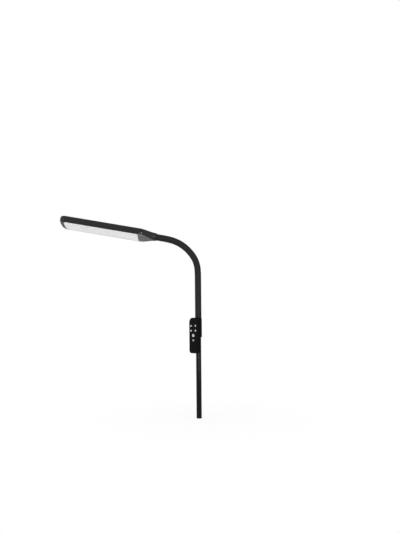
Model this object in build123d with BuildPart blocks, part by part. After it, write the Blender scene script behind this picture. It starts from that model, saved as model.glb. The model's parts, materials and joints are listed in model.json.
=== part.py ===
"""Gooseneck LED lamp: light bar, bendable neck, keypad and the top section of its pole.

Millimetres.  The origin is the centre of the pole's foot, +Z runs up the pole, and the neck is set so
that the head points along -X.  The keypad faces half way between -X and -Y.
"""
import os
from math import acos, asin, cos, degrees, radians, sin, sqrt

from build123d import *

os.makedirs("parts", exist_ok=True)

# ---------------------------------------------------------------- driving dimensions
# pole
POLE_OD = 16.0
POLE_WALL = 1.0
POLE_TOP = 292.0
FOOT_BUSH_LENGTH = 16.0
FOOT_THREAD_BORE = 9.0          # minor diameter of an M10 x 1 thread

# lead inside the pole
LEAD_D = 3.2
SOCKET_D = 11.0
SOCKET_BORE = 9.8
SOCKET_LENGTH = 18.0
LEAD_BEND_RADIUS = 18.0

# neck
NECK_OD = 19.2
NECK_PITCH = 22.0               # from one bend point to the next
NECK_START = 301.0
FIRST_BEND = 24.0               # height of the first bend point over the neck's start
STRAIGHT_BENDS = 5              # bend points below the curve
REST_BENDS = (4, 15, 15, 10, 10, 12, 10, 4, 0)   # degrees turned at each bend point of the curve
BALL_GAP = 0.3
CORE_OD = 9.6
CORE_ID = 6.0
CORE_END_GAP = 0.6              # from a core's end to the ball that moves beside it
NECK_END = 12.0                 # from the last bend point to the end of the sleeve

# keypad housing
PAD_WIDTH = 36.0
PAD_HEIGHT = 106.0              # its top is level with the neck's start
PAD_TURN = 45.0                 # degrees that the face is turned from -Y towards -X
PAD_FACE = 21.5                 # from the pole's axis to the face
PAD_SEAM = 13.0                 # from the pole's axis to the seam of the two shells
PAD_BACK = 8.6                  # from the pole's axis to the back
PAD_WALL = 1.8
PAD_TOP_RADIUS = 12.5
PAD_FOOT_RADIUS = 8.5
PAD_EDGE = 1.4
SLEEVE_OD = 21.0
SLEEVE_LENGTH = 58.0
SLEEVE_BORE_GAP = 0.15
SLEEVE_TAPER = 4.0              # height of the taper at the sleeve's top

# keys
KEY_PITCH = 14.3
KEY_COLUMN = 18.4
SMALL_KEY_D = 5.4
POWER_KEY_D = 9.0
KEY_PROUD = 0.9
KEY_TRAVEL = 0.7
KEY_FLANGE = 0.9
KEY_FLANGE_RIM = 0.7
KEY_GUIDE_GAP = 0.3
KEY_SEAT_GAP = 0.05
KEY_STOP_GAP = 0.1
BOARD_THICK = 1.6
SWITCH_BODY = 1.5
SWITCH_STEM = 0.5

# head
HEAD_LENGTH = 290.0
HEAD_HALF_WIDTH = 28.5
HEAD_TOP = 7.0                  # flat top, over the neck's axis
HEAD_BOTTOM = -11.5             # bezel face, under the neck's axis
HEAD_SEAM = -5.6
HEAD_ROLL = 14.0                # degrees that the light is turned towards -Y
HEAD_WALL = 2.0
HEAD_TOP_EDGE = 3.5
HEAD_BEZEL_EDGE = 6.5
TIP_CORNER = 18.0
TIP_BOW = 3.0
SHOULDER_LENGTH = 50.0
THROAT_RADIUS = 11.5
THROAT_DEPTH = 8.0
THROAT_GAP = 0.3
BULKHEAD = 6.0
SEAM_TONGUE = 1.6
SEAM_GAP = 0.15

# light
DIFFUSER_SIDE_BORDER = 7.0
DIFFUSER_START = 54.0
DIFFUSER_TIP_BORDER = 14.0
DIFFUSER_CORNER = 10.5
DIFFUSER_FLANGE = 1.8
DIFFUSER_FLANGE_THICK = 1.2
DIFFUSER_PROUD = 0.6
DIFFUSER_EDGE = 0.48
FIT_GAP = 0.2
LED_BOARD_LEVEL = 1.0
LED_BOARD_THICK = 1.0
HEAT_PLATE_THICK = 1.2
LED_ROWS = 2
LED_COLUMNS = 20
VENT_D = 3.0
VENT_PITCH = 6.4
VENT_BORDER = 1.8                # from the diffuser to the first row's centres
VENT_ROWS = 9
VENT_COLUMNS = 8                 # on each side of the middle

# swivel
NIPPLE_D = 9.6
NIPPLE_GAP = 0.4
NIPPLE_PROUD = 1.5              # past the nut
NIPPLE_LEAD_IN = 0.6
COLLAR_D = 15.0
COLLAR_THICK = 2.0
COLLAR_SEAT_GAP = 0.15
WASHER_D = 14.0
WASHER_THICK = 1.0
NUT_ACROSS_FLATS = 13.0
NUT_THICK = 3.5

# ---------------------------------------------------------------- worked out from them
POLE_R = POLE_OD / 2
POLE_BORE = POLE_R - POLE_WALL
NECK_R = NECK_OD / 2
SOCKET_R = NECK_R + BALL_GAP
CORE_R = CORE_OD / 2
BEND_COUNT = STRAIGHT_BENDS + len(REST_BENDS)
PAD_CENTRE = NECK_START - PAD_HEIGHT / 2
SLEEVE_R = SLEEVE_OD / 2
SLEEVE_BOTTOM = NECK_START - SLEEVE_LENGTH
SLEEVE_BORE = POLE_R + SLEEVE_BORE_GAP
CAVITY_HALF_WIDTH = HEAD_HALF_WIDTH - HEAD_WALL
CAVITY_TOP = HEAD_TOP - HEAD_WALL
CAVITY_BOTTOM = HEAD_BOTTOM + HEAD_WALL
DIFFUSER_END = HEAD_LENGTH - DIFFUSER_TIP_BORDER
DIFFUSER_WIDTH = 2 * (HEAD_HALF_WIDTH - DIFFUSER_SIDE_BORDER)
LIGHT_LENGTH = DIFFUSER_END - DIFFUSER_START
LIGHT_CENTRE = (DIFFUSER_START + DIFFUSER_END) / 2


def save(name, part):
    """Label a finished piece and write it as its own file."""
    part.label = name
    export_step(part, f"parts/{name}.step")


def neck_planes():
    """One plane for each rigid length of the neck: origin at its lower bend point, Z along it."""
    origin = Vector(0, 0, NECK_START)
    planes = [Plane(origin=origin, x_dir=(0, 1, 0), z_dir=(0, 0, 1))]
    origin = origin + Vector(0, 0, FIRST_BEND)
    turned = 0.0
    for bend in (0,) * STRAIGHT_BENDS + REST_BENDS:
        turned += radians(bend)
        along = Vector(-sin(turned), 0, cos(turned))
        planes.append(Plane(origin=origin, x_dir=(0, 1, 0), z_dir=along))
        origin = origin + along * NECK_PITCH
    return planes


NECK = neck_planes()
NECK_TIP = NECK[-1]
HEAD_ALONG = NECK_TIP.z_dir
HEAD_UP = Vector(0, 0, 1).cross(HEAD_ALONG).cross(HEAD_ALONG) * -1
MOUTH = NECK_END - (THROAT_DEPTH - COLLAR_SEAT_GAP - COLLAR_THICK)
THROAT = NECK_TIP.origin + HEAD_ALONG * MOUTH
HEAD = Plane(origin=THROAT, x_dir=HEAD_ALONG, z_dir=HEAD_UP.rotate(Axis((0, 0, 0), HEAD_ALONG), HEAD_ROLL))

PAD_OUT = Vector(-sin(radians(PAD_TURN)), -cos(radians(PAD_TURN)), 0)
PAD = Plane(origin=(0, 0, PAD_CENTRE), x_dir=Vector(0, 0, 1).cross(PAD_OUT), z_dir=PAD_OUT)
PAD_SIDE = Plane(origin=(0, 0, 0), x_dir=PAD_OUT, z_dir=PAD_OUT.cross(Vector(0, 0, 1)))


# ---------------------------------------------------------------- pole
LEAD_CROSSING = SLEEVE_BOTTOM + 7       # height at which the lead passes through the pole's wall
SLOT_WIDTH = LEAD_D + 2.4
SLOT_HEIGHT = 26.0

POLE_GRUB = SLEEVE_BOTTOM + 9           # height of the screw that presses on the pole
FERRULE_GRUB = POLE_TOP - 8             # height of the screw that passes the pole to the ferrule
GRUB_D = 4.0
THREAD_GAP = 0.05

with BuildPart() as pole_tube:
    Cylinder(POLE_R, POLE_TOP, align=(Align.CENTER, Align.CENTER, Align.MIN))
    Cylinder(POLE_BORE, POLE_TOP, align=(Align.CENTER, Align.CENTER, Align.MIN), mode=Mode.SUBTRACT)
    with BuildSketch(PAD):
        with Locations((0, LEAD_CROSSING - PAD_CENTRE)):
            SlotOverall(SLOT_HEIGHT, SLOT_WIDTH, rotation=90)
    extrude(amount=POLE_OD, mode=Mode.SUBTRACT)
    with BuildSketch(PAD):
        with Locations((0, FERRULE_GRUB - PAD_CENTRE)):
            Circle(GRUB_D / 2 + THREAD_GAP)
    extrude(amount=-POLE_OD, mode=Mode.SUBTRACT)
save("pole_tube", pole_tube.part)

with BuildPart() as pole_foot_bush:
    Cylinder(POLE_BORE, FOOT_BUSH_LENGTH, align=(Align.CENTER, Align.CENTER, Align.MIN))
    Hole(FOOT_THREAD_BORE / 2)
save("pole_foot_bush", pole_foot_bush.part)

SOCKET_BASE = FOOT_BUSH_LENGTH
SOCKET_TOP = SOCKET_BASE + SOCKET_LENGTH
SOCKET_RIM = 3.0
SOCKET_HOLLOW = 6.0
with BuildPart() as lead_socket:
    with BuildSketch(Plane.XZ):
        with BuildLine():
            Polyline((SOCKET_BORE / 2, SOCKET_BASE), (POLE_BORE, SOCKET_BASE),
                     (POLE_BORE, SOCKET_BASE + SOCKET_RIM),
                     (SOCKET_D / 2 + 1, SOCKET_BASE + SOCKET_RIM),
                     (SOCKET_D / 2, SOCKET_TOP - SOCKET_RIM), (LEAD_D / 2, SOCKET_TOP),
                     (0, SOCKET_TOP), (0, SOCKET_BASE + SOCKET_HOLLOW),
                     (SOCKET_BORE / 2, SOCKET_BASE + SOCKET_HOLLOW), close=True)
        make_face()
    revolve(axis=Axis.Z)
save("lead_socket", lead_socket.part)

# The lead rises in the pole, crosses to the keypad through one slot and ends in the board's plug.
CONNECTOR_RISE = 22.0           # over the keypad's centre
CONNECTOR_DEPTH = 3.4
CONNECTOR_HEIGHT = 5.0
CONNECTOR_EDGE = 0.5
LEAD_CROSS_DROP = 18.0          # from the crossing down to where the lead leaves the pole's axis
LEAD_PLUG_RUN = 12.0            # straight run into the plug
CONNECTOR_WIDTH = 10.0
BOARD_FRONT = (PAD_FACE - PAD_WALL - KEY_SEAT_GAP - KEY_FLANGE - KEY_TRAVEL - KEY_STOP_GAP
               - SWITCH_STEM - SWITCH_BODY)
BOARD_BACK = BOARD_FRONT - BOARD_THICK
LEAD_EXIT = BOARD_BACK - CONNECTOR_DEPTH / 2
LEAD_END = PAD_CENTRE + CONNECTOR_RISE - CONNECTOR_HEIGHT / 2

with BuildPart() as pole_lead:
    with BuildLine(PAD_SIDE):
        FilletPolyline((0, SOCKET_TOP), (0, LEAD_CROSSING - LEAD_CROSS_DROP),
                       (LEAD_EXIT, LEAD_END - LEAD_PLUG_RUN), (LEAD_EXIT, LEAD_END),
                       radius=LEAD_BEND_RADIUS)
    with BuildSketch(Plane.XY.offset(SOCKET_TOP)):
        Circle(LEAD_D / 2)
    sweep()
save("pole_lead", pole_lead.part)


# ---------------------------------------------------------------- neck
CORE_BORE = CORE_R + FIT_GAP / 2
RIM_DROP = sqrt(SOCKET_R ** 2 - NECK_R ** 2)
CORE_FOOT = -sqrt((NECK_R - CORE_END_GAP / 2) ** 2 - CORE_R ** 2)
CORE_TOP = -SOCKET_R - CORE_END_GAP / 2


def lengthwise(plane):
    """The plane through a neck length's axis, with its own Y along that axis."""
    return Plane(origin=plane.origin, x_dir=plane.x_dir, z_dir=plane.x_dir.cross(plane.z_dir))


def sleeve_length(plane, length, ball, socket):
    """One rigid length of the neck's sleeve: a ball end below and a hollow socket end above."""
    ball_turn = degrees(acos(CORE_BORE / NECK_R))
    rim_turn = degrees(asin(RIM_DROP / SOCKET_R))
    socket_turn = degrees(acos(CORE_BORE / SOCKET_R))
    with BuildPart() as piece:
        with BuildSketch(lengthwise(plane)):
            with BuildLine():
                if ball:
                    lower = CenterArc((0, 0), NECK_R, -ball_turn, ball_turn)
                else:
                    lower = Line((CORE_BORE, 0), (NECK_R, 0))
                if socket:
                    upper = CenterArc((0, length), SOCKET_R, -rim_turn, rim_turn - socket_turn)
                else:
                    upper = Line((NECK_R, length), (CORE_BORE, length))
                Line(lower @ 1, upper @ 0)
                Line(upper @ 1, lower @ 0)
            make_face()
        revolve(axis=Axis(plane.origin, plane.z_dir))
    return piece.part


def core_length(plane):
    """One rigid length of the wound steel core inside the sleeve."""
    with BuildPart() as piece:
        with BuildSketch(plane.offset(CORE_FOOT)):
            Circle(CORE_R)
            Circle(CORE_ID / 2, mode=Mode.SUBTRACT)
        extrude(amount=NECK_PITCH + CORE_TOP - CORE_FOOT)
    return piece.part


save("neck_sleeve_00", sleeve_length(NECK[0], FIRST_BEND, ball=False, socket=True))
for number in range(1, BEND_COUNT):
    save(f"neck_sleeve_{number:02d}", sleeve_length(NECK[number], NECK_PITCH, ball=True, socket=True))
    save(f"neck_core_{number:02d}", core_length(NECK[number]))
save(f"neck_sleeve_{BEND_COUNT:02d}", sleeve_length(NECK_TIP, NECK_END, ball=True, socket=False))

STEM_LENGTH = 30.0
STEM_R = POLE_BORE - SLEEVE_BORE_GAP
with BuildPart() as neck_ferrule_lower:
    with BuildSketch(Plane.XZ):
        with BuildLine():
            Polyline((CORE_ID / 2, POLE_TOP - STEM_LENGTH), (STEM_R, POLE_TOP - STEM_LENGTH),
                     (STEM_R, POLE_TOP), (POLE_R, POLE_TOP), (POLE_R, NECK_START),
                     (CORE_R, NECK_START), (CORE_R, NECK_START + FIRST_BEND + CORE_TOP),
                     (CORE_ID / 2, NECK_START + FIRST_BEND + CORE_TOP), close=True)
        make_face()
    revolve(axis=Axis.Z)
save("neck_ferrule_lower", neck_ferrule_lower.part)

BULKHEAD_NEAR = MOUTH + THROAT_DEPTH
BULKHEAD_FAR = BULKHEAD_NEAR + BULKHEAD
WASHER_NEAR = BULKHEAD_FAR + COLLAR_SEAT_GAP
NUT_NEAR = WASHER_NEAR + WASHER_THICK
NIPPLE_END = NUT_NEAR + NUT_THICK + NIPPLE_PROUD
NIPPLE_R = NIPPLE_D / 2
TIP_AXIS = Axis(NECK_TIP.origin, NECK_TIP.z_dir)

with BuildPart() as neck_ferrule_upper:
    with BuildSketch(lengthwise(NECK_TIP)):
        with BuildLine():
            Polyline((CORE_ID / 2, CORE_FOOT), (CORE_R, CORE_FOOT), (CORE_R, NECK_END),
                     (COLLAR_D / 2, NECK_END), (COLLAR_D / 2, NECK_END + COLLAR_THICK),
                     (NIPPLE_R, NECK_END + COLLAR_THICK), (NIPPLE_R, NIPPLE_END - NIPPLE_LEAD_IN),
                     (NIPPLE_R - NIPPLE_LEAD_IN, NIPPLE_END), (CORE_ID / 2, NIPPLE_END), close=True)
        make_face()
    revolve(axis=TIP_AXIS)
save("neck_ferrule_upper", neck_ferrule_upper.part)

with BuildPart() as swivel_washer:
    with BuildSketch(NECK_TIP.offset(WASHER_NEAR)):
        Circle(WASHER_D / 2)
        Circle(NIPPLE_R + FIT_GAP / 2, mode=Mode.SUBTRACT)
    extrude(amount=WASHER_THICK)
save("swivel_washer", swivel_washer.part)

with BuildPart() as swivel_nut:
    with BuildSketch(NECK_TIP.offset(NUT_NEAR)):
        RegularPolygon(NUT_ACROSS_FLATS / 2, 6, major_radius=False)
        Circle(NIPPLE_R + FIT_GAP / 4, mode=Mode.SUBTRACT)
    extrude(amount=NUT_THICK)
save("swivel_nut", swivel_nut.part)


# ---------------------------------------------------------------- keypad housing
PAD_AXIS = Axis(PAD.origin, PAD.z_dir)
PAD_CEILING = PAD_FACE - PAD_WALL
PAD_FLOOR = PAD_BACK + PAD_WALL
HOUSING_SCREW_SIDE = PAD_WIDTH / 2 - 5
HOUSING_SCREWS = [(side * HOUSING_SCREW_SIDE, rise) for side in (-1, 1)
                  for rise in (PAD_HEIGHT / 2 - 15, 9 - PAD_HEIGHT / 2)]
BOARD_SCREWS = [(12.5, 5.5), (-12.5, 5.5), (0, -28)]   # between the keys
BOSS_D = 5.5
POST_D = 4.4
SCREW_D = 2.4
SCREW_HEAD_D = 4.4
SCREW_HEAD = 1.5
SCREW_HOLE_GAP = 0.25
SCREW_BITE = 2.5                # how far a housing screw reaches past the seam
GRUB_SINK = 0.3                 # how far a grub screw's end lies under the sleeve's surface
BOSS_FLOOR = 1.0                # blind end left over a screw hole
BOARD_SCREW_D = 1.8
BOARD_SCREW_HEAD_D = 3.6
BOARD_SCREW_HEAD = 1.1
BOARD_WIDTH = PAD_WIDTH - 5.0
BOARD_TOP = PAD_HEIGHT / 2 - 19.5
BOARD_FOOT = 15 - PAD_HEIGHT / 2
BOARD_CORNER = 1.5
SWITCH_SIZE = 6.0
SWITCH_STEM_D = 3.2
GRUB_SEATS = {POLE_GRUB: POLE_R, FERRULE_GRUB: STEM_R}      # height: radius of what the screw meets

SMALL_KEYS = {
    "key_upper_left": (-KEY_COLUMN / 2, 2 * KEY_PITCH),
    "key_upper_right": (KEY_COLUMN / 2, 2 * KEY_PITCH),
    "key_middle_left": (-KEY_COLUMN / 2, KEY_PITCH),
    "key_middle_right": (KEY_COLUMN / 2, KEY_PITCH),
    "key_lower": (0, -KEY_PITCH),
}
POWER_KEY = (0, 0)
KEYS = [(name, place, SMALL_KEY_D) for name, place in SMALL_KEYS.items()]
KEYS.append(("key_power", POWER_KEY, POWER_KEY_D))


def pad_outline(inset):
    """The keypad's outline in the open sketch, with its larger corners at the top."""
    Rectangle(PAD_WIDTH - 2 * inset, PAD_HEIGHT - 2 * inset)
    corners = vertices().group_by(Axis.Y)
    fillet(corners[-1], PAD_TOP_RADIUS - inset)
    corners = vertices().group_by(Axis.Y)
    fillet(corners[0], PAD_FOOT_RADIUS - inset)


def discs(places, diameter, mode=Mode.ADD):
    """Equal discs in the open sketch."""
    with Locations(*places):
        Circle(diameter / 2, mode=mode)


with BuildPart() as control_front_shell:
    with BuildSketch(PAD.offset(PAD_SEAM)):
        pad_outline(0)
    extrude(amount=PAD_FACE - PAD_SEAM)
    fillet(control_front_shell.faces().sort_by(PAD_AXIS)[-1].edges(), PAD_EDGE)
    with BuildSketch(PAD.offset(PAD_SEAM)):
        pad_outline(PAD_WALL)
    extrude(amount=PAD_CEILING - PAD_SEAM, mode=Mode.SUBTRACT)
    with BuildSketch(PAD.offset(PAD_SEAM)):
        discs(HOUSING_SCREWS, BOSS_D)
    extrude(amount=PAD_CEILING - PAD_SEAM)
    with BuildSketch(PAD.offset(BOARD_FRONT)):
        discs(BOARD_SCREWS, POST_D)
    extrude(amount=PAD_CEILING - BOARD_FRONT)
    with BuildSketch(PAD.offset(PAD_SEAM)):
        discs(HOUSING_SCREWS, SCREW_D + 2 * THREAD_GAP)
    extrude(amount=PAD_CEILING - PAD_SEAM - BOSS_FLOOR, mode=Mode.SUBTRACT)
    with BuildSketch(PAD.offset(BOARD_FRONT)):
        discs(BOARD_SCREWS, BOARD_SCREW_D + 2 * THREAD_GAP)
    extrude(amount=PAD_CEILING - BOARD_FRONT, mode=Mode.SUBTRACT)
    for name, place, diameter in KEYS:
        with BuildSketch(PAD.offset(PAD_CEILING)):
            discs([place], diameter + 2 * KEY_GUIDE_GAP)
        extrude(amount=PAD_WALL, mode=Mode.SUBTRACT)
save("control_front_shell", control_front_shell.part)

with BuildPart() as control_back_shell:
    with BuildSketch(PAD.offset(PAD_BACK)):
        pad_outline(0)
    extrude(amount=PAD_SEAM - PAD_BACK)
    fillet(control_back_shell.faces().sort_by(PAD_AXIS)[0].edges(), PAD_EDGE)
    with BuildSketch(PAD.offset(PAD_FLOOR)):
        pad_outline(PAD_WALL)
    extrude(amount=PAD_SEAM - PAD_FLOOR, mode=Mode.SUBTRACT)
    with BuildSketch(PAD.offset(PAD_FLOOR)):
        discs(HOUSING_SCREWS, BOSS_D)
    extrude(amount=PAD_SEAM - PAD_FLOOR)
    with BuildSketch(Plane.XZ):
        with BuildLine():
            Polyline((0, SLEEVE_BOTTOM), (SLEEVE_R, SLEEVE_BOTTOM), (SLEEVE_R, NECK_START - SLEEVE_TAPER),
                     (NECK_R, NECK_START), (0, NECK_START), close=True)
        make_face()
    revolve(axis=Axis.Z)
    with BuildSketch(Plane.XY.offset(SLEEVE_BOTTOM)):
        Circle(SLEEVE_BORE)
    extrude(amount=NECK_START - SLEEVE_BOTTOM, mode=Mode.SUBTRACT)
    with BuildSketch(PAD):
        with Locations((0, LEAD_CROSSING - PAD_CENTRE)):
            SlotOverall(SLOT_HEIGHT, SLOT_WIDTH, rotation=90)
    extrude(amount=PAD_SEAM, mode=Mode.SUBTRACT)
    with BuildSketch(PAD.offset(PAD_BACK)):
        discs(HOUSING_SCREWS, SCREW_D + 2 * SCREW_HOLE_GAP)
    extrude(amount=PAD_SEAM - PAD_BACK, mode=Mode.SUBTRACT)
    with BuildSketch(PAD.offset(PAD_BACK)):
        discs(HOUSING_SCREWS, SCREW_HEAD_D + 2 * SCREW_HOLE_GAP)
    extrude(amount=SCREW_HEAD + SCREW_HOLE_GAP, mode=Mode.SUBTRACT)
    with BuildSketch(PAD):
        discs([(0, height - PAD_CENTRE) for height in GRUB_SEATS], GRUB_D + 2 * THREAD_GAP)
    extrude(amount=-SLEEVE_OD, mode=Mode.SUBTRACT)
save("control_back_shell", control_back_shell.part)

with BuildPart() as control_screws:
    with BuildSketch(PAD.offset(PAD_BACK + SCREW_HOLE_GAP)):
        discs(HOUSING_SCREWS, SCREW_HEAD_D)
    extrude(amount=SCREW_HEAD)
    with BuildSketch(PAD.offset(PAD_BACK + SCREW_HOLE_GAP + SCREW_HEAD)):
        discs(HOUSING_SCREWS, SCREW_D)
    extrude(amount=PAD_SEAM - PAD_BACK + SCREW_BITE)
save("control_screws", control_screws.part)

with BuildPart() as clamp_grub_screws:
    for height, seat in GRUB_SEATS.items():
        with BuildSketch(PAD.offset(-seat)):
            with Locations((0, height - PAD_CENTRE)):
                Circle(GRUB_D / 2)
        extrude(amount=seat - SLEEVE_R + GRUB_SINK)
save("clamp_grub_screws", clamp_grub_screws.part)

with BuildPart() as control_board:
    with BuildSketch(PAD.offset(BOARD_BACK)):
        with Locations((0, (BOARD_TOP + BOARD_FOOT) / 2)):
            RectangleRounded(BOARD_WIDTH, BOARD_TOP - BOARD_FOOT, BOARD_CORNER)
    extrude(amount=BOARD_THICK)
    with BuildSketch(PAD.offset(BOARD_BACK)):
        discs(BOARD_SCREWS, BOARD_SCREW_D + 2 * SCREW_HOLE_GAP)
    extrude(amount=BOARD_THICK, mode=Mode.SUBTRACT)
save("control_board", control_board.part)

with BuildPart() as control_board_screws:
    with BuildSketch(PAD.offset(BOARD_BACK - BOARD_SCREW_HEAD)):
        discs(BOARD_SCREWS, BOARD_SCREW_HEAD_D)
    extrude(amount=BOARD_SCREW_HEAD)
    with BuildSketch(PAD.offset(BOARD_BACK)):
        discs(BOARD_SCREWS, BOARD_SCREW_D)
    extrude(amount=PAD_CEILING - BOARD_BACK - BOSS_FLOOR)
save("control_board_screws", control_board_screws.part)

with BuildPart() as tact_switches:
    with BuildSketch(PAD.offset(BOARD_FRONT)):
        with Locations(*[place for name, place, diameter in KEYS]):
            Rectangle(SWITCH_SIZE, SWITCH_SIZE)
    extrude(amount=SWITCH_BODY)
    with BuildSketch(PAD.offset(BOARD_FRONT + SWITCH_BODY)):
        discs([place for name, place, diameter in KEYS], SWITCH_STEM_D)
    extrude(amount=SWITCH_STEM)
save("tact_switches", tact_switches.part)

with BuildPart() as board_connector:
    with BuildSketch(PAD.offset(BOARD_BACK)):
        with Locations((0, CONNECTOR_RISE)):
            Rectangle(CONNECTOR_WIDTH, CONNECTOR_HEIGHT)
    extrude(amount=-CONNECTOR_DEPTH)
    chamfer(board_connector.faces().sort_by(PAD_AXIS)[0].edges(), CONNECTOR_EDGE)
save("board_connector", board_connector.part)


def push_key(place, diameter):
    """A round key: its cap stands proud of the face and its flange is trapped behind it."""
    flange_front = PAD_CEILING - KEY_SEAT_GAP
    with BuildPart() as key:
        with BuildSketch(PAD.offset(flange_front - KEY_FLANGE)):
            discs([place], diameter + 2 * (KEY_GUIDE_GAP + KEY_FLANGE_RIM))
        extrude(amount=KEY_FLANGE)
        with BuildSketch(PAD.offset(flange_front)):
            discs([place], diameter)
        extrude(amount=PAD_FACE + KEY_PROUD - flange_front)
        fillet(key.faces().sort_by(PAD_AXIS)[-1].edges(), KEY_PROUD / 2)
    return key.part


for name, place, diameter in KEYS:
    save(name, push_key(place, diameter))


# ---------------------------------------------------------------- head
HEAD_AXIS = Axis(HEAD.origin, HEAD.x_dir)
HEAD_UP_AXIS = Axis(HEAD.origin, HEAD.z_dir)
SHOULDER_STATIONS = 7
POCKET_STEP = 2.0                # from the nut pocket's floor to the start of the wider cavity
NUT_POCKET_D = WASHER_D + 1.6
NUT_POCKET_LENGTH = NIPPLE_END - BULKHEAD_FAR + 1
MOUTH_LIP = 0.2
LEAST_EDGE = 0.5
TONGUE_WALL = 1.2
TONGUE_ROOT = 0.4                # how far the tongue's foot reaches into the bezel's wall
TONGUE_START = SHOULDER_LENGTH
BLIND_REACH = 1.0                # how far the board screws' holes go into the top wall
SCREW_END_GAP = 0.2
LED_BOARD_BORDER = 0.5
REFLECTOR_DRAW = 3.5
REFLECTOR_HEEL = 6.0
DIFFUSER_HEEL = 1.5
LIGHT_SCREW_REACH = LIGHT_LENGTH / 2 - 16
LIGHT_SCREW_SIDE = DIFFUSER_WIDTH / 2 - 7.5
LIGHT_SCREWS = [(LIGHT_CENTRE + place * LIGHT_SCREW_REACH, side * LIGHT_SCREW_SIDE)
                for place in (-1, 0, 1) for side in (-1, 1)]
DRIVER_START = 27.0
DRIVER_LENGTH = 18.0
DRIVER_WIDTH = 24.0
DRIVER_LEVEL = 2.4
DRIVER_SCREW_INSET = 3.0
DRIVER_SCREWS = [(DRIVER_START + DRIVER_SCREW_INSET, 0),
                 (DRIVER_START + DRIVER_LENGTH - DRIVER_SCREW_INSET, 0)]
CHIP_SIZE = (8, 6)
COIL_D = 6.0
DRIVER_COMPONENT_HEIGHT = 3.0
DRIVER_COMPONENT_SIDE = 8.0
LED_SIZE = (3.5, 2.8)
LED_THICK = 0.7
LED_ROW_GAP = 14.0
LED_END_GAP = 14.0               # from the light's end to the last LED of a row


def across(distance):
    """The plane square to the head at a distance from its mouth, with its own Y upward."""
    return Plane(origin=HEAD.origin + HEAD.x_dir * distance, x_dir=HEAD.y_dir, z_dir=HEAD.x_dir)


def shoulder_ease(distance):
    """How far the shoulder has gone from the round mouth, 0, to the bar, 1."""
    share = min(distance / SHOULDER_LENGTH, 1)
    return share * share * (3 - 2 * share)


def shoulder_section(distance, inset):
    """The shoulder's section in the open sketch, between round mouth and bar, drawn in by a wall."""
    ease = shoulder_ease(distance)
    half = THROAT_RADIUS + (HEAD_HALF_WIDTH - THROAT_RADIUS) * ease - inset
    top = THROAT_RADIUS + (HEAD_TOP - THROAT_RADIUS) * ease - inset
    bottom = -THROAT_RADIUS + (HEAD_BOTTOM + THROAT_RADIUS) * ease + inset
    round_start = THROAT_RADIUS - MOUTH_LIP
    top_edge = round_start + (HEAD_TOP_EDGE - round_start) * ease - inset
    low_edge = max(round_start + (HEAD_BEZEL_EDGE - round_start) * ease - 2 * inset, LEAST_EDGE)
    with Locations((0, (top + bottom) / 2)):
        Rectangle(2 * half, top - bottom)
    fillet(vertices().group_by(Axis.Y)[-1], top_edge)
    fillet(vertices().group_by(Axis.Y)[0], low_edge)


def bar_outline(inset, start):
    """The light bar's plan in the open sketch: straight sides and a bowed, rounded tip."""
    half = HEAD_HALF_WIDTH - inset
    tip = HEAD_LENGTH - inset
    with BuildLine() as outline:
        Line((start, -half), (tip - TIP_BOW, -half))
        ThreePointArc((tip - TIP_BOW, -half), (tip, 0), (tip - TIP_BOW, half))
        Line((tip - TIP_BOW, half), (start, half))
        Line((start, half), (start, -half))
    make_face(outline.edges())
    fillet(vertices().group_by(Axis.X)[-1], TIP_CORNER - inset)


def head_form(start, inset):
    """The head's closed form from a distance past its mouth, drawn in all round by a wall."""
    stations = [start + (SHOULDER_LENGTH - start) * step / (SHOULDER_STATIONS - 1)
                for step in range(SHOULDER_STATIONS)]
    with BuildPart() as form:
        with BuildSketch(HEAD.offset(HEAD_BOTTOM + inset)):
            bar_outline(inset, SHOULDER_LENGTH)
        extrude(amount=HEAD_TOP - HEAD_BOTTOM - 2 * inset)
        low_face = form.faces().sort_by(HEAD_UP_AXIS)[0]
        fillet(low_face.edges().sort_by(HEAD_AXIS)[1:], max(HEAD_BEZEL_EDGE - 2 * inset, LEAST_EDGE))
        top_face = form.faces().sort_by(HEAD_UP_AXIS)[-1]
        fillet(top_face.edges().sort_by(HEAD_AXIS)[1:], HEAD_TOP_EDGE - inset)
        for distance in stations:
            with BuildSketch(across(distance)):
                shoulder_section(distance, inset)
        loft()
    return form.part


def throat_bores():
    """Cut the open part's round mouth, its nipple hole and its nut pocket, all on the neck's axis."""
    mouth = Cylinder(NECK_R + THROAT_GAP, 2 * THROAT_DEPTH, mode=Mode.PRIVATE)
    hole = Cylinder(NIPPLE_R + NIPPLE_GAP, 2 * (THROAT_DEPTH + BULKHEAD + 1), mode=Mode.PRIVATE)
    pocket = Cylinder(NUT_POCKET_D / 2, NUT_POCKET_LENGTH, mode=Mode.PRIVATE,
                      align=(Align.CENTER, Align.CENTER, Align.MIN))
    add(across(0).location * mouth, mode=Mode.SUBTRACT)
    add(across(0).location * hole, mode=Mode.SUBTRACT)
    add(across(THROAT_DEPTH + BULKHEAD).location * pocket, mode=Mode.SUBTRACT)


def light_outline(grow, heel):
    """The light's plan in the open sketch, grown all round, with its rounder corners at the tip."""
    with Locations((LIGHT_CENTRE, 0)):
        Rectangle(LIGHT_LENGTH + 2 * grow, DIFFUSER_WIDTH + 2 * grow)
    fillet(vertices().group_by(Axis.X)[-1], DIFFUSER_CORNER + grow)
    fillet(vertices().group_by(Axis.X)[0], heel + grow)


def vent_places():
    """Vent centres in a diamond pattern on the flat underside of the shoulder."""
    places = []
    for row in range(VENT_ROWS):
        distance = DIFFUSER_START - VENT_BORDER - row * VENT_PITCH / 2
        flat = THROAT_RADIUS + (HEAD_HALF_WIDTH - THROAT_RADIUS) * shoulder_ease(distance)
        flat -= HEAD_BEZEL_EDGE + VENT_D
        for column in range(-VENT_COLUMNS, VENT_COLUMNS + 1):
            if (row + column) % 2 and abs(column) * VENT_PITCH / 2 < flat:
                places.append((distance, column * VENT_PITCH / 2))
    return places


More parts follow.
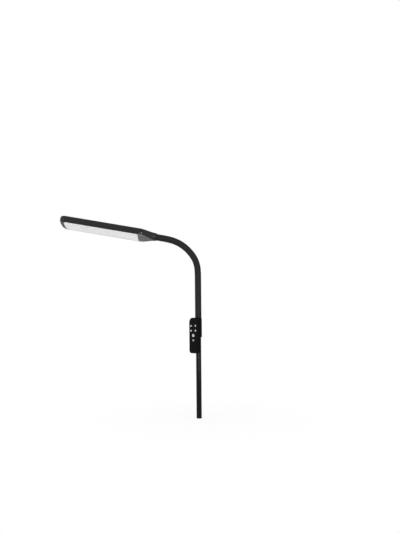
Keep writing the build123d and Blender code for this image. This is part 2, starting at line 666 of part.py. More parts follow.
OUTER = head_form(0, 0)
CAVITY = head_form(THROAT_DEPTH + BULKHEAD + POCKET_STEP, HEAD_WALL)
REFLECTOR_FOOT = CAVITY_BOTTOM + DIFFUSER_FLANGE_THICK
HEAT_PLATE_TOP = LED_BOARD_LEVEL + LED_BOARD_THICK + HEAT_PLATE_THICK
DRIVER_TOP = DRIVER_LEVEL + BOARD_THICK

with BuildPart() as head_top_shell:
    add(OUTER)
    add(CAVITY, mode=Mode.SUBTRACT)
    throat_bores()
    with BuildSketch(HEAD.offset(CAVITY_TOP)):
        discs(LIGHT_SCREWS, BOSS_D)
    extrude(amount=HEAT_PLATE_TOP - CAVITY_TOP)
    with BuildSketch(HEAD.offset(DRIVER_TOP)):
        discs(DRIVER_SCREWS, POST_D)
    extrude(amount=HEAD_TOP - MOUTH_LIP - DRIVER_TOP)
    with BuildSketch(HEAD.offset(DRIVER_TOP)):
        discs(DRIVER_SCREWS, BOARD_SCREW_D + 2 * THREAD_GAP)
    extrude(amount=HEAD_TOP - HEAD_WALL - DRIVER_TOP, mode=Mode.SUBTRACT)
    with BuildSketch(HEAD.offset(HEAT_PLATE_TOP)):
        discs(LIGHT_SCREWS, BOARD_SCREW_D + 2 * THREAD_GAP)
    extrude(amount=CAVITY_TOP + BLIND_REACH - HEAT_PLATE_TOP, mode=Mode.SUBTRACT)
    split(bisect_by=HEAD.offset(HEAD_SEAM), keep=Keep.TOP)
save("head_top_shell", head_top_shell.part)

with BuildPart() as head_bezel:
    add(OUTER)
    add(CAVITY, mode=Mode.SUBTRACT)
    split(bisect_by=HEAD.offset(HEAD_SEAM), keep=Keep.BOTTOM)
    throat_bores()
    with BuildSketch(HEAD.offset(HEAD_SEAM - SEAM_TONGUE)):
        bar_outline(HEAD_WALL - TONGUE_ROOT, TONGUE_START)
    extrude(amount=SEAM_TONGUE)
    with BuildSketch(HEAD.offset(HEAD_SEAM)):
        bar_outline(HEAD_WALL + SEAM_GAP, TONGUE_START)
    extrude(amount=SEAM_TONGUE)
    with BuildSketch(HEAD.offset(HEAD_SEAM - SEAM_TONGUE)):
        bar_outline(HEAD_WALL + TONGUE_WALL, TONGUE_START + TONGUE_WALL)
    extrude(amount=2 * SEAM_TONGUE, mode=Mode.SUBTRACT)
    with BuildSketch(HEAD.offset(HEAD_BOTTOM)):
        light_outline(FIT_GAP, DIFFUSER_HEEL)
    extrude(amount=HEAD_WALL, mode=Mode.SUBTRACT)
    with BuildSketch(HEAD.offset(HEAD_BOTTOM)):
        discs(vent_places(), VENT_D)
    extrude(amount=HEAD_WALL, mode=Mode.SUBTRACT)
save("head_bezel", head_bezel.part)

with BuildPart() as diffuser:
    with BuildSketch(HEAD.offset(HEAD_BOTTOM - DIFFUSER_PROUD)):
        light_outline(0, DIFFUSER_HEEL)
    extrude(amount=CAVITY_BOTTOM - HEAD_BOTTOM + DIFFUSER_PROUD)
    fillet(diffuser.faces().sort_by(HEAD_UP_AXIS)[0].edges(), DIFFUSER_EDGE)
    with BuildSketch(HEAD.offset(CAVITY_BOTTOM)):
        light_outline(DIFFUSER_FLANGE, DIFFUSER_HEEL)
    extrude(amount=REFLECTOR_FOOT - CAVITY_BOTTOM)
save("diffuser", diffuser.part)

with BuildPart() as reflector_frame:
    with BuildSketch(HEAD.offset(REFLECTOR_FOOT)):
        light_outline(DIFFUSER_FLANGE, DIFFUSER_HEEL)
    extrude(amount=LED_BOARD_LEVEL - REFLECTOR_FOOT)
    with BuildSketch(HEAD.offset(REFLECTOR_FOOT)):
        light_outline(0, REFLECTOR_HEEL)
    with BuildSketch(HEAD.offset(LED_BOARD_LEVEL)):
        light_outline(-REFLECTOR_DRAW, REFLECTOR_HEEL)
    loft(mode=Mode.SUBTRACT)
save("reflector_frame", reflector_frame.part)

with BuildPart() as led_board:
    with BuildSketch(HEAD.offset(LED_BOARD_LEVEL)):
        light_outline(LED_BOARD_BORDER, DIFFUSER_HEEL)
        discs(LIGHT_SCREWS, BOARD_SCREW_D + 2 * SCREW_HOLE_GAP, mode=Mode.SUBTRACT)
    extrude(amount=LED_BOARD_THICK)
save("led_board", led_board.part)

with BuildPart() as heat_plate:
    with BuildSketch(HEAD.offset(LED_BOARD_LEVEL + LED_BOARD_THICK)):
        light_outline(0, DIFFUSER_HEEL)
        discs(LIGHT_SCREWS, BOARD_SCREW_D + 2 * SCREW_HOLE_GAP, mode=Mode.SUBTRACT)
    extrude(amount=HEAT_PLATE_THICK)
save("heat_plate", heat_plate.part)

with BuildPart() as leds:
    with BuildSketch(HEAD.offset(LED_BOARD_LEVEL)):
        with Locations((LIGHT_CENTRE, 0)):
            with GridLocations((LIGHT_LENGTH - 2 * LED_END_GAP) / (LED_COLUMNS - 1), LED_ROW_GAP,
                               LED_COLUMNS, LED_ROWS):
                Rectangle(*LED_SIZE)
    extrude(amount=-LED_THICK)
save("leds", leds.part)

with BuildPart() as head_board_screws:
    with BuildSketch(HEAD.offset(LED_BOARD_LEVEL)):
        discs(LIGHT_SCREWS, BOARD_SCREW_HEAD_D)
    extrude(amount=-BOARD_SCREW_HEAD)
    with BuildSketch(HEAD.offset(LED_BOARD_LEVEL)):
        discs(LIGHT_SCREWS, BOARD_SCREW_D)
    extrude(amount=CAVITY_TOP + BLIND_REACH - SCREW_END_GAP - LED_BOARD_LEVEL)
    with BuildSketch(HEAD.offset(DRIVER_LEVEL)):
        discs(DRIVER_SCREWS, BOARD_SCREW_HEAD_D)
    extrude(amount=-BOARD_SCREW_HEAD)
    with BuildSketch(HEAD.offset(DRIVER_LEVEL)):
        discs(DRIVER_SCREWS, BOARD_SCREW_D)
    extrude(amount=BOARD_THICK + BLIND_REACH - SCREW_END_GAP)
save("head_board_screws", head_board_screws.part)

with BuildPart() as driver_board:
    with BuildSketch(HEAD.offset(DRIVER_LEVEL)):
        with Locations((DRIVER_START + DRIVER_LENGTH / 2, 0)):
            RectangleRounded(DRIVER_LENGTH, DRIVER_WIDTH, BOARD_CORNER)
        discs(DRIVER_SCREWS, BOARD_SCREW_D + 2 * SCREW_HOLE_GAP, mode=Mode.SUBTRACT)
    extrude(amount=BOARD_THICK)
    with BuildSketch(HEAD.offset(DRIVER_LEVEL)):
        with Locations((DRIVER_START + DRIVER_LENGTH / 2, -DRIVER_COMPONENT_SIDE)):
            Rectangle(*CHIP_SIZE)
        with Locations((DRIVER_START + DRIVER_LENGTH / 2, DRIVER_COMPONENT_SIDE)):
            Circle(COIL_D / 2)
    extrude(amount=-DRIVER_COMPONENT_HEIGHT)
save("driver_board", driver_board.part)
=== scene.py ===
"""Finish of a gooseneck LED lamp: materials, one-piece neck sleeve, studio stage and camera.

Every length is in metres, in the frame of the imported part: the origin is the centre of the pole's foot,
+Z runs up the pole and the head points along -X.
"""
import json
from math import pi, radians

import bmesh
import bpy
from mathutils import Matrix, Vector


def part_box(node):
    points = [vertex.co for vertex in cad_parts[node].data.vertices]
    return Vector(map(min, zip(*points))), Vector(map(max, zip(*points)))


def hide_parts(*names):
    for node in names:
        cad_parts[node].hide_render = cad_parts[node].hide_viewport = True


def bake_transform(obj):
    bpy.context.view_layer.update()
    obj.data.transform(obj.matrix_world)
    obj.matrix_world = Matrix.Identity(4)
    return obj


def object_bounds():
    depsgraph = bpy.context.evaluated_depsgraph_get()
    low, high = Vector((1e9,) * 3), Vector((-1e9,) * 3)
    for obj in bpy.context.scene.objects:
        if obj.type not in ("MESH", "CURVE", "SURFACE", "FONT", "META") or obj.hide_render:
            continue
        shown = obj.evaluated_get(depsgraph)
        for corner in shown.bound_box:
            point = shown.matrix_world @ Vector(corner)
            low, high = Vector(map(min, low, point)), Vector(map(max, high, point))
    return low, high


bl_info = {
    "name": "Gooseneck lamp finish",
    "version": (1, 0, 0),
    "blender": (4, 5, 0),
    "location": "3D View > Sidebar > Lamp",
    "description": "Finishes, neck sleeve and stage of a gooseneck LED lamp",
    "category": "Object",
}

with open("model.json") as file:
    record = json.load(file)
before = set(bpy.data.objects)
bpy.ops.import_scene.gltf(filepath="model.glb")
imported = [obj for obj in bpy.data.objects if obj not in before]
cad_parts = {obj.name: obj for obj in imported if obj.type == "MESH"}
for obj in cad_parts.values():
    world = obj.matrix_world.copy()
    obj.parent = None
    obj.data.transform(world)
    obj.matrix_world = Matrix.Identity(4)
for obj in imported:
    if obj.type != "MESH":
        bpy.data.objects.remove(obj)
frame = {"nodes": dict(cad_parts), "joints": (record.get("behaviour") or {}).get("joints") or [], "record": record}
CAD_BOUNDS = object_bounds()
NODES = frame["nodes"]
SLOTS = {row["node"]: row["material_slot"] for row in frame["record"]["subparts"]}
HINGES = [joint for joint in frame["joints"] if joint["child"].startswith("neck_")]
SWIVEL = next(joint for joint in frame["joints"] if joint["name"] == "head_swivel")

HEAD_ALONG = Vector(SWIVEL["axis"])
HEAD_ROLL = radians(14)          # turn of the light about the neck's axis
HEAD_UP = Matrix.Rotation(HEAD_ROLL, 3, HEAD_ALONG) @ HEAD_ALONG.cross((0, 1, 0))
HEAD_UP *= 1 if HEAD_UP.z > 0 else -1
# Painted reflection: the vent panel under the shoulder gets a flat grey that stands in for the light its gloss
# black reflects
VENT_REFLECTION_DEPTH = (-0.0104, -0.0112)       # from the side's black to the painted reflection grey of the panel
VENT_REFLECTION_END = (0.0535, 0.0525)           # from the diffuser's border towards the throat
VENT_REFLECTION_FADE = (0.004, 0.038)            # from the throat's black to the panel's full painted reflection grey

ARC_STEPS = 10                   # divisions of the sleeve over one hinge
SLEEVE_END = 0.012               # from the last hinge to the sleeve's end
STRAIGHT_TURN = 1e-4             # turn in radians under which a bend is taken as straight
MERGE_DISTANCE = 1e-6
SHARP_EDGE = radians(35)

CLOUD_SCALE = 38.0               # pattern that varies a finish's colour
RUB_SCALE = 160.0                # pattern that varies its roughness
PATTERN_RANGE = (0.3, 0.7)       # where most of a noise pattern's values lie
GRAIN_STRENGTH = 0.6
TURNED_GRAIN = (1.0, 1.0, 12.0)  # stretch of the grain on turned and plated metal
ROLLED_GRAIN = (1.0, 20.0, 1.0)  # stretch of the grain on rolled sheet
INNER_TONES = {                  # colours of the pieces inside and of the bare metal
    "steel": (0.5, 0.5, 0.51),
    "brass": (0.62, 0.45, 0.2),
    "reflector_white": (0.8, 0.8, 0.79),
    "board_white": (0.78, 0.79, 0.78),
    "board_green": (0.03, 0.16, 0.075),
    "led": (0.82, 0.72, 0.3),
    "heat_aluminium": (0.7, 0.71, 0.72),
    "switch_grey": (0.1, 0.1, 0.11),
    "connector_cream": (0.72, 0.68, 0.58),
    "lead_black": (0.012, 0.012, 0.013),
}

WHITE = (1, 1, 1, 1)
FLOOR_WIDTH = 24
FLOOR_DROP = 0.0005              # from the pole's foot down to the floor
FLOOR_TONE = (0.86, 0.86, 0.86, 1)
FLOOR_ROUGHNESS = 0.9
GLOW_REACH = (0.03, 0.4)         # distances from the foot between which the floor turns white
GLOW_SHARE = (0.82, 1.0)         # how white it looks at these distances
SOFTBOXES = (                    # name, place, width and height, share of the softbox power
    ("main_softbox", (0.3, -1.48, 0.34), (0.3, 0.66), 1.6),
    ("side_softbox", (-1.3, -1.2, 0.9), (0.6, 1.2), 0.6),
    ("fill_softbox", (1.3, -1.1, 0.6), (0.8, 0.8), 0.2),
    ("edge_softbox", (-1.45, 0.75, 0.5), (0.5, 1.1), 0.7),
)
CAMERA_SIDE = 0.0046             # from the pole's axis to the camera's
SENSOR_HEIGHT = 24.0             # millimetres
CLIP_START = 0.01


# ---------------------------------------------------------------- settings
class LampFinishSettings(bpy.types.PropertyGroup):
    """Colours of the lamp's moulded and painted pieces."""

    shell_tone: bpy.props.FloatVectorProperty(
        name="Top shell", description="Satin black of the light bar's top shell",
        subtype="COLOR", size=3, min=0, max=1, default=(0.0075, 0.0075, 0.008))
    bezel_tone: bpy.props.FloatVectorProperty(
        name="Bezel", description="Gloss black of the frame around the diffuser",
        subtype="COLOR", size=3, min=0, max=1, default=(0.004, 0.004, 0.0045))
    sleeve_tone: bpy.props.FloatVectorProperty(
        name="Neck sleeve", description="Matte black of the silicone sleeve",
        subtype="COLOR", size=3, min=0, max=1, default=(0.0065, 0.0065, 0.007))
    pole_tone: bpy.props.FloatVectorProperty(
        name="Pole", description="Painted steel of the pole",
        subtype="COLOR", size=3, min=0, max=1, default=(0.003, 0.003, 0.0034))
    pad_tone: bpy.props.FloatVectorProperty(
        name="Keypad housing", description="Fine matte black of the keypad housing",
        subtype="COLOR", size=3, min=0, max=1, default=(0.0018, 0.0018, 0.0021))
    # Painted reflection: grey put on the gloss black vent panel for the light it reflects
    vent_painted_reflection_tone: bpy.props.FloatVectorProperty(
        name="Vent panel", description="Grey of the perforated underside of the shoulder",
        subtype="COLOR", size=3, min=0, max=1, default=(0.11, 0.11, 0.112))
    key_tone: bpy.props.FloatVectorProperty(
        name="Keys", description="Pale moulded keys",
        subtype="COLOR", size=3, min=0, max=1, default=(0.4, 0.415, 0.43))
    opal_tone: bpy.props.FloatVectorProperty(
        name="Diffuser", description="Opal white of the unlit diffuser",
        subtype="COLOR", size=3, min=0, max=1, default=(0.66, 0.665, 0.665))


class LampSleeveSettings(bpy.types.PropertyGroup):
    """Sizes of the neck's one-piece sleeve."""

    radius: bpy.props.FloatProperty(
        name="Radius", description="Outside radius of the sleeve",
        unit="LENGTH", min=0.005, max=0.02, default=0.0096, precision=4)
    wall: bpy.props.FloatProperty(
        name="Wall", description="Thickness of the sleeve's wall",
        unit="LENGTH", min=0.001, max=0.006, default=0.0042, precision=4)
    sides: bpy.props.IntProperty(
        name="Sides", description="Divisions around the sleeve", min=12, max=96, default=48)


class LampStageSettings(bpy.types.PropertyGroup):
    """Floor, light and camera."""

    sky: bpy.props.FloatProperty(
        name="Sky", description="Strength of the sky's light on the lamp", min=0, max=3, default=0.8)
    lamp_power: bpy.props.FloatProperty(
        name="Softboxes", description="Power that each softbox takes its share of",
        unit="POWER", min=0, max=200, default=8.0)
    camera_distance: bpy.props.FloatProperty(
        name="Camera distance", description="From the camera to the pole",
        unit="LENGTH", min=0.5, max=5, default=1.25)
    camera_height: bpy.props.FloatProperty(
        name="Camera height", description="Height of the camera over the pole's foot",
        unit="LENGTH", min=0, max=2, default=0.245)
    frame_height: bpy.props.FloatProperty(
        name="Frame height", description="Height of the picture at the pole",
        unit="LENGTH", min=0.1, max=5, default=1.6)
    frame_centre: bpy.props.FloatProperty(
        name="Frame centre", description="Height of the picture's middle at the pole",
        unit="LENGTH", min=0, max=2, default=0.455)
    camera_roll: bpy.props.FloatProperty(
        name="Camera roll", description="Lean of the camera about its own axis",
        subtype="ANGLE", min=-0.5, max=0.5, default=radians(0.52))


# ---------------------------------------------------------------- materials
def shader_node(tree, kind, **sockets):
    """One shader node with its inputs set by name."""
    node = tree.nodes.new(kind)
    for name, value in sockets.items():
        node.inputs[name.replace("_", " ")].default_value = value
    return node


def noise(tree, vector, scale, detail=4.0, roughness=0.55):
    """A noise pattern on object coordinates."""
    node = shader_node(tree, "ShaderNodeTexNoise", Scale=scale, Detail=detail, Roughness=roughness)
    tree.links.new(vector, node.inputs["Vector"])
    return node.outputs["Fac"]


def spread(tree, source, low, high):
    """A pattern mapped to a narrow range of values."""
    least, most = PATTERN_RANGE
    node = shader_node(tree, "ShaderNodeMapRange", From_Min=least, From_Max=most, To_Min=low, To_Max=high)
    tree.links.new(source, node.inputs["Value"])
    return node.outputs["Result"]


def surface(name, tone, roughness, rub=0.06, tone_spread=0.12, grain=2500.0, grain_depth=2e-5,
            flow=None, **shader):
    """A procedural finish: colour that varies a little, rubbed roughness and a fine grain in relief."""
    material = bpy.data.materials.new(name)
    material.use_nodes = True
    tree = material.node_tree
    principled = tree.nodes["Principled BSDF"]
    for socket, value in shader.items():
        principled.inputs[socket.replace("_", " ")].default_value = value
    place = tree.nodes.new("ShaderNodeTexCoord").outputs["Object"]
    fine = place
    if flow:
        stretch = tree.nodes.new("ShaderNodeMapping")
        stretch.inputs["Scale"].default_value = flow
        tree.links.new(place, stretch.inputs["Vector"])
        fine = stretch.outputs["Vector"]
    clouds = noise(tree, place, CLOUD_SCALE)
    mix = tree.nodes.new("ShaderNodeMix")
    mix.data_type = "RGBA"
    mix.inputs["A"].default_value = (*[value * (1 - tone_spread) for value in tone], 1)
    mix.inputs["B"].default_value = (*[min(value * (1 + tone_spread), 1) for value in tone], 1)
    tree.links.new(clouds, mix.inputs["Factor"])
    tree.links.new(mix.outputs["Result"], principled.inputs["Base Color"])
    rubbed = noise(tree, fine, RUB_SCALE, detail=6.0)
    tree.links.new(spread(tree, rubbed, roughness - rub, roughness + rub), principled.inputs["Roughness"])
    bump = shader_node(tree, "ShaderNodeBump", Strength=GRAIN_STRENGTH, Distance=grain_depth)
    tree.links.new(noise(tree, fine, grain, detail=2.0), bump.inputs["Height"])
    tree.links.new(bump.outputs["Normal"], principled.inputs["Normal"])
    return material


def along_axis(tree, place, axis):
    """Distance of a point from the head's swivel along one of the head's axes."""
    shift = tree.nodes.new("ShaderNodeVectorMath")
    shift.operation = "SUBTRACT"
    shift.inputs[1].default_value = SWIVEL["pos_m"]
    measure = tree.nodes.new("ShaderNodeVectorMath")
    measure.operation = "DOT_PRODUCT"
    measure.inputs[1].default_value = axis
    tree.links.new(place, shift.inputs[0])
    tree.links.new(shift.outputs["Vector"], measure.inputs[0])
    return measure.outputs["Value"]


def gate(tree, distance, low, high):
    """Goes from 0 at the low distance to 1 at the high one."""
    node = shader_node(tree, "ShaderNodeMapRange", From_Min=low, From_Max=high)
    tree.links.new(distance, node.inputs["Value"])
    return node.outputs["Result"]


def paint_vent_reflection(material, tone):
    """Paint a reflection on the bezel's flat underside between throat and diffuser: a flat grey for the light its
    gloss black vent panel reflects.
    """
    tree = material.node_tree
    principled = tree.nodes["Principled BSDF"]
    place = tree.nodes.new("ShaderNodeTexCoord").outputs["Object"]
    under = gate(tree, along_axis(tree, place, HEAD_UP), *VENT_REFLECTION_DEPTH)
    forward = along_axis(tree, place, HEAD_ALONG)
    painted_reflection_share = under
    for limits in (VENT_REFLECTION_END, VENT_REFLECTION_FADE):
        product = tree.nodes.new("ShaderNodeMath")
        product.operation = "MULTIPLY"
        tree.links.new(painted_reflection_share, product.inputs[0])
        tree.links.new(gate(tree, forward, *limits), product.inputs[1])
        painted_reflection_share = product.outputs[0]
    mix = tree.nodes.new("ShaderNodeMix")
    mix.data_type = "RGBA"
    tree.links.new(painted_reflection_share, mix.inputs["Factor"])
    tree.links.new(principled.inputs["Base Color"].links[0].from_socket, mix.inputs["A"])
    # painted reflection: flat grey in place of the light the gloss black underside reflects
    mix.inputs["B"].default_value = (*tone, 1)
    tree.links.new(mix.outputs["Result"], principled.inputs["Base Color"])
    return material


def lamp_finishes(tones):
    """All the lamp's finishes, by material slot."""
    inner = INNER_TONES
    return {
        "pole_paint": surface("pole_gloss_paint", tones.pole_tone, 0.14, rub=0.03, grain=700.0,
                              grain_depth=2e-5, Specular_IOR_Level=0.11),
        "neck_silicone": surface("neck_matte_silicone", tones.sleeve_tone, 0.62, rub=0.05, grain=3800.0,
                                 grain_depth=3e-5, Specular_IOR_Level=0.16, Sheen_Weight=0.04,
                                 Sheen_Roughness=0.35),
        "shell_black": surface("shell_satin_plastic", tones.shell_tone, 0.42, rub=0.05, grain=3200.0,
                               grain_depth=2.5e-5, Specular_IOR_Level=0.22),
        # the bezel's gloss black carries a painted reflection grey on its vent panel
        "bezel_black": paint_vent_reflection(surface("bezel_gloss_plastic_painted_reflection", tones.bezel_tone, 0.16, rub=0.03,
                                          grain=900.0, grain_depth=6e-6, Specular_IOR_Level=0.3),
                                  tones.vent_painted_reflection_tone),
        "pad_black": surface("keypad_fine_matte_plastic", tones.pad_tone, 0.52, rub=0.05, grain=4200.0,
                             grain_depth=3e-5, Specular_IOR_Level=0.035),
        "key_white": surface("key_pale_plastic", tones.key_tone, 0.38, rub=0.04, tone_spread=0.03,
                             grain=2600.0, grain_depth=1e-5, Subsurface_Weight=0.15,
                             Subsurface_Scale=0.002),
        "opal": surface("diffuser_opal", tones.opal_tone, 0.5, rub=0.04, tone_spread=0.02, grain=3000.0,
                        grain_depth=1.5e-5, Subsurface_Weight=0.12, Subsurface_Scale=0.004),
        "steel": surface("zinc_plated_steel", inner["steel"], 0.34, rub=0.08, grain=1800.0,
                         flow=TURNED_GRAIN, Metallic=1.0),
        "brass": surface("turned_brass", inner["brass"], 0.3, rub=0.07, grain=1500.0,
                         flow=TURNED_GRAIN, Metallic=1.0),
        "reflector_white": surface("reflector_white_plastic", inner["reflector_white"], 0.35,
                                   tone_spread=0.02),
        "board_white": surface("led_board_mask", inner["board_white"], 0.4, tone_spread=0.02),
        "board_green": surface("board_green_mask", inner["board_green"], 0.3, tone_spread=0.15,
                               Coat_Weight=0.3),
        "led": surface("led_phosphor", inner["led"], 0.4, tone_spread=0.05),
        "heat_aluminium": surface("rolled_aluminium", inner["heat_aluminium"], 0.36, rub=0.08,
                                  flow=ROLLED_GRAIN, Metallic=1.0),
        "switch_grey": surface("switch_moulding", inner["switch_grey"], 0.5),
        "connector_cream": surface("plug_nylon", inner["connector_cream"], 0.45),
        "lead_black": surface("lead_covering", inner["lead_black"], 0.5, grain_depth=3e-5),
    }


# ---------------------------------------------------------------- neck sleeve
def sleeve_tree(finish):
    """Node tree that sweeps a round sleeve along a line of points."""
    tree = bpy.data.node_groups.new("NeckSleeve", "GeometryNodeTree")
    sockets = tree.interface
    sockets.new_socket("Geometry", in_out="INPUT", socket_type="NodeSocketGeometry")
    sockets.new_socket("Radius", in_out="INPUT", socket_type="NodeSocketFloat")
    sockets.new_socket("Sides", in_out="INPUT", socket_type="NodeSocketInt")
    sockets.new_socket("Geometry", in_out="OUTPUT", socket_type="NodeSocketGeometry")
    start = tree.nodes.new("NodeGroupInput")
    end = tree.nodes.new("NodeGroupOutput")
    path = tree.nodes.new("GeometryNodeMeshToCurve")
    ring = tree.nodes.new("GeometryNodeCurvePrimitiveCircle")
    sweep = tree.nodes.new("GeometryNodeCurveToMesh")
    smooth = tree.nodes.new("GeometryNodeSetShadeSmooth")
    realize = tree.nodes.new("GeometryNodeRealizeInstances")
    paint = tree.nodes.new("GeometryNodeSetMaterial")
    paint.inputs["Material"].default_value = finish
    link = tree.links.new
    link(start.outputs["Geometry"], path.inputs["Mesh"])
    link(start.outputs["Radius"], ring.inputs["Radius"])
    link(start.outputs["Sides"], ring.inputs["Resolution"])
    link(path.outputs["Curve"], sweep.inputs["Curve"])
    link(ring.outputs["Curve"], sweep.inputs["Profile Curve"])
    link(sweep.outputs["Mesh"], smooth.inputs["Geometry"])
    link(smooth.outputs["Geometry"], realize.inputs["Geometry"])
    link(realize.outputs["Geometry"], paint.inputs["Geometry"])
    link(paint.outputs["Geometry"], end.inputs["Geometry"])
    return tree


def set_input(modifier, name, value):
    """Set a node tree's input on its modifier by the socket's name."""
    for item in modifier.node_group.interface.items_tree:
        if item.item_type == "SOCKET" and item.in_out == "INPUT" and item.name == name:
            modifier[item.identifier] = value


def path_object(name, points):
    """A mesh of edges through the points."""
    mesh = bpy.data.meshes.new(name)
    mesh.from_pydata(points, [(i, i + 1) for i in range(len(points) - 1)], [])
    piece = bpy.data.objects.new(name, mesh)
    bpy.context.scene.collection.objects.link(piece)
    return piece


def settle(piece):
    """Turn a piece with live modifiers into a closed plain mesh with outward faces."""
    bpy.context.view_layer.update()
    evaluated = piece.evaluated_get(bpy.context.evaluated_depsgraph_get())
    mesh = bpy.data.meshes.new_from_object(evaluated)
    mesh.name = piece.name
    piece.modifiers.clear()
    piece.data = mesh
    shape = bmesh.new()
    shape.from_mesh(mesh)
    bmesh.ops.remove_doubles(shape, verts=shape.verts, dist=MERGE_DISTANCE)
    bmesh.ops.recalc_face_normals(shape, faces=shape.faces)
    for face in shape.faces:
        face.smooth = True
    shape.to_mesh(mesh)
    shape.free()
    mesh.set_sharp_from_angle(angle=SHARP_EDGE)


def arc_points(before, bend, after):
    """Points of the round arc that joins two straight lengths of equal reach at their bend."""
    enter = (bend - before).normalized()
    leave = (after - bend).normalized()
    turn = enter.angle(leave)
    if turn < STRAIGHT_TURN:
        return [before.lerp(after, step / ARC_STEPS) for step in range(ARC_STEPS + 1)]
    side = (leave - enter * enter.dot(leave)).normalized()
    reach = (bend - before).length
    radius = reach / ((1 - enter.dot(leave)) / (1 + enter.dot(leave))) ** 0.5
    centre = before + side * radius
    axis = enter.cross(side)
    return [centre + Matrix.Rotation(turn * step / ARC_STEPS, 3, axis) @ (before - centre)
            for step in range(ARC_STEPS + 1)]


def neck_run():
    """The neck's foot, its bend points, the middles of its lengths and its upper end."""
    bends = [Vector(joint["pos_m"]) for joint in HINGES]
    pitch = (bends[1] - bends[0]).length
    foot = Vector((0, 0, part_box("neck_sleeve_00")[0].z))
    end = bends[-1] + HEAD_ALONG * SLEEVE_END
    middles = [bends[0] - Vector((0, 0, pitch / 2))]
    middles += [(a + b) / 2 for a, b in zip(bends, bends[1:])]
    middles.append(bends[-1] + HEAD_ALONG * pitch / 2)
    return foot, bends, middles, end


# ---------------------------------------------------------------- operators
class LAMP_OT_finishes(bpy.types.Operator):
    """Give every piece of the frame its finish."""

    bl_idname = "lamp.finishes"
    bl_label = "Finishes"

    def execute(self, context):
        finishes = lamp_finishes(context.scene.lamp_finish)
        for name, node in NODES.items():
            node.data.materials.clear()
            node.data.materials.append(finishes[SLOTS[name]])
        return {"FINISHED"}


class LAMP_OT_sleeve(bpy.types.Operator):
    """Make the neck's smooth sleeve, one closed length over each hinge."""

    bl_idname = "lamp.sleeve"
    bl_label = "Neck sleeve"

    def execute(self, context):
        sizes = context.scene.lamp_sleeve
        tree = sleeve_tree(bpy.data.materials["neck_matte_silicone"])
        foot, bends, middles, end = neck_run()
        last = len(bends) - 1
        for number, bend in enumerate(bends):
            before, after = middles[number], middles[number + 1]
            points = arc_points(before, bend, after)
            if number == 0:
                points.insert(0, foot)
            if number == last:
                points.append(end)
            piece = path_object(f"neck_sleeve_skin_{number:02d}", points)
            sweep = piece.modifiers.new("Sweep", "NODES")
            sweep.node_group = tree
            set_input(sweep, "Radius", sizes.radius)
            set_input(sweep, "Sides", sizes.sides)
            wall = piece.modifiers.new("Wall", "SOLIDIFY")
            wall.thickness = sizes.wall
            wall.offset = -1.0
            settle(piece)
            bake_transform(piece)
            replaced = [f"neck_sleeve_{number:02d}"]
            if number == last:
                replaced.append(f"neck_sleeve_{number + 1:02d}")
            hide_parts(*replaced)
        return {"FINISHED"}


class LAMP_OT_stage(bpy.types.Operator):
    """Set the pale floor, soft light, sky and camera."""

    bl_idname = "lamp.stage"
    bl_label = "Stage"

    def execute(self, context):
        stage = context.scene.lamp_stage
        studio_floor()
        studio_sky(context.scene, stage)
        soft_lights(stage)
        lamp_camera(context.scene, stage)
        return {"FINISHED"}


def seen_directly(tree):
    """1 for the camera and for clear reflections, 0 for the light that falls on the lamp."""
    path = tree.nodes.new("ShaderNodeLightPath")
    most = tree.nodes.new("ShaderNodeMath")
    most.operation = "MAXIMUM"
    tree.links.new(path.outputs["Is Camera Ray"], most.inputs[0])
    also = tree.nodes.new("ShaderNodeMath")
    also.operation = "MAXIMUM"
    tree.links.new(path.outputs["Is Glossy Ray"], also.inputs[0])
    tree.links.new(path.outputs["Is Transmission Ray"], also.inputs[1])
    tree.links.new(also.outputs[0], most.inputs[1])
    return most.outputs[0]


def studio_floor():
    """A wide pale floor under the pole's foot, white all round it."""
    bpy.ops.mesh.primitive_grid_add(x_subdivisions=8, y_subdivisions=8, size=1)
    floor = bpy.context.object
    floor.name = "studio_floor"
    floor.data.transform(Matrix.Diagonal((FLOOR_WIDTH, FLOOR_WIDTH, 1, 1)))
    floor.data.transform(Matrix.Translation((0, 0, CAD_BOUNDS[0][2] - FLOOR_DROP)))
    paint = bpy.data.materials.new("floor_white")
    paint.use_nodes = True
    tree = paint.node_tree
    principled = tree.nodes["Principled BSDF"]
    principled.inputs["Base Color"].default_value = FLOOR_TONE
    principled.inputs["Roughness"].default_value = FLOOR_ROUGHNESS
    glow = shader_node(tree, "ShaderNodeEmission", Color=WHITE, Strength=1.0)
    away = tree.nodes.new("ShaderNodeVectorMath")
    away.operation = "LENGTH"
    tree.links.new(tree.nodes.new("ShaderNodeTexCoord").outputs["Object"], away.inputs[0])
    fade = shader_node(tree, "ShaderNodeMapRange", From_Min=GLOW_REACH[0], From_Max=GLOW_REACH[1],
                       To_Min=GLOW_SHARE[0], To_Max=GLOW_SHARE[1])
    tree.links.new(away.outputs["Value"], fade.inputs["Value"])
    share = tree.nodes.new("ShaderNodeMath")
    share.operation = "MULTIPLY"
    tree.links.new(seen_directly(tree), share.inputs[0])
    tree.links.new(fade.outputs["Result"], share.inputs[1])
    blend_shaders(tree, share.outputs[0], principled, glow, tree.nodes["Material Output"])
    floor.data.materials.append(paint)


def studio_sky(scene, stage):
    """An even sky that looks white and lights the lamp at its own strength."""
    world = bpy.data.worlds.new("studio_sky")
    world.use_nodes = True
    scene.world = world
    tree = world.node_tree
    dim = tree.nodes["Background"]
    dim.inputs["Color"].default_value = WHITE
    dim.inputs["Strength"].default_value = stage.sky
    bright = shader_node(tree, "ShaderNodeBackground", Color=WHITE, Strength=1.0)
    blend_shaders(tree, seen_directly(tree), dim, bright, tree.nodes["World Output"])
    scene.view_settings.view_transform = "Standard"


def blend_shaders(tree, share, first, second, output):
    """Two shaders mixed by a share, into the tree's output."""
    mix = tree.nodes.new("ShaderNodeMixShader")
    tree.links.new(share, mix.inputs[0])
    tree.links.new(first.outputs[0], mix.inputs[1])
    tree.links.new(second.outputs[0], mix.inputs[2])
    tree.links.new(mix.outputs[0], output.inputs["Surface"])


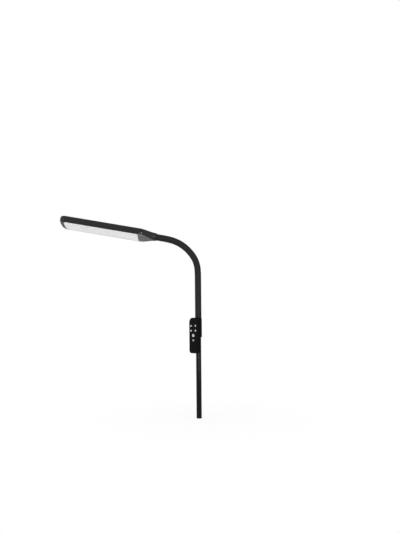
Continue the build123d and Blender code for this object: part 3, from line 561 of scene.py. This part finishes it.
def soft_lights(stage):
    """Three softboxes in front and one behind the light bar, all turned to the middle of the lamp."""
    middle = (Vector(CAD_BOUNDS[0]) + Vector(CAD_BOUNDS[1])) / 2
    for name, place, size, share in SOFTBOXES:
        light = bpy.data.lights.new(name, "AREA")
        light.shape = "RECTANGLE"
        light.size, light.size_y = size
        light.energy = stage.lamp_power * share
        holder = bpy.data.objects.new(name, light)
        holder.location = place
        holder.rotation_euler = (middle - Vector(place)).to_track_quat("-Z", "Y").to_euler()
        bpy.context.scene.collection.objects.link(holder)


def lamp_camera(scene, stage):
    """A level camera in front of the pole, with its picture shifted up towards the head."""
    camera = bpy.data.cameras.new("front_camera")
    camera.sensor_fit = "VERTICAL"
    camera.sensor_height = SENSOR_HEIGHT
    camera.lens = camera.sensor_height * stage.camera_distance / stage.frame_height
    camera.shift_y = (stage.frame_centre - stage.camera_height) / stage.frame_height
    camera.clip_start = CLIP_START
    holder = bpy.data.objects.new("front_camera", camera)
    holder.location = (CAMERA_SIDE, -stage.camera_distance, stage.camera_height)
    holder.rotation_euler = (pi / 2, stage.camera_roll, 0)
    scene.collection.objects.link(holder)
    scene.camera = holder


class LAMP_PT_panel(bpy.types.Panel):
    """The lamp's settings and making steps."""

    bl_idname = "LAMP_PT_panel"
    bl_label = "Gooseneck lamp"
    bl_space_type = "VIEW_3D"
    bl_region_type = "UI"
    bl_category = "Lamp"

    def draw(self, context):
        for settings in SETTINGS:
            values = getattr(context.scene, settings)
            for name in values.bl_rna.properties.keys():
                if name not in {"rna_type", "name"}:
                    self.layout.prop(values, name)
        for step in STEPS:
            self.layout.operator(step.bl_idname)


SETTINGS = {"lamp_finish": LampFinishSettings, "lamp_sleeve": LampSleeveSettings,
            "lamp_stage": LampStageSettings}
STEPS = (LAMP_OT_stage, LAMP_OT_finishes, LAMP_OT_sleeve)
CLASSES = (*SETTINGS.values(), *STEPS, LAMP_PT_panel)


def register():
    """Register the classes and hang the settings on the scene."""
    for entry in CLASSES:
        bpy.utils.register_class(entry)
    for name, settings in SETTINGS.items():
        setattr(bpy.types.Scene, name, bpy.props.PointerProperty(type=settings))


def unregister():
    """Take the settings and the classes away again."""
    for name in SETTINGS:
        delattr(bpy.types.Scene, name)
    for entry in reversed(CLASSES):
        bpy.utils.unregister_class(entry)


def main():
    """Make the lamp and its stage."""
    register()
    bpy.ops.lamp.stage()
    bpy.ops.lamp.finishes()
    bpy.ops.lamp.sleeve()


if __name__ == "__main__":
    main()
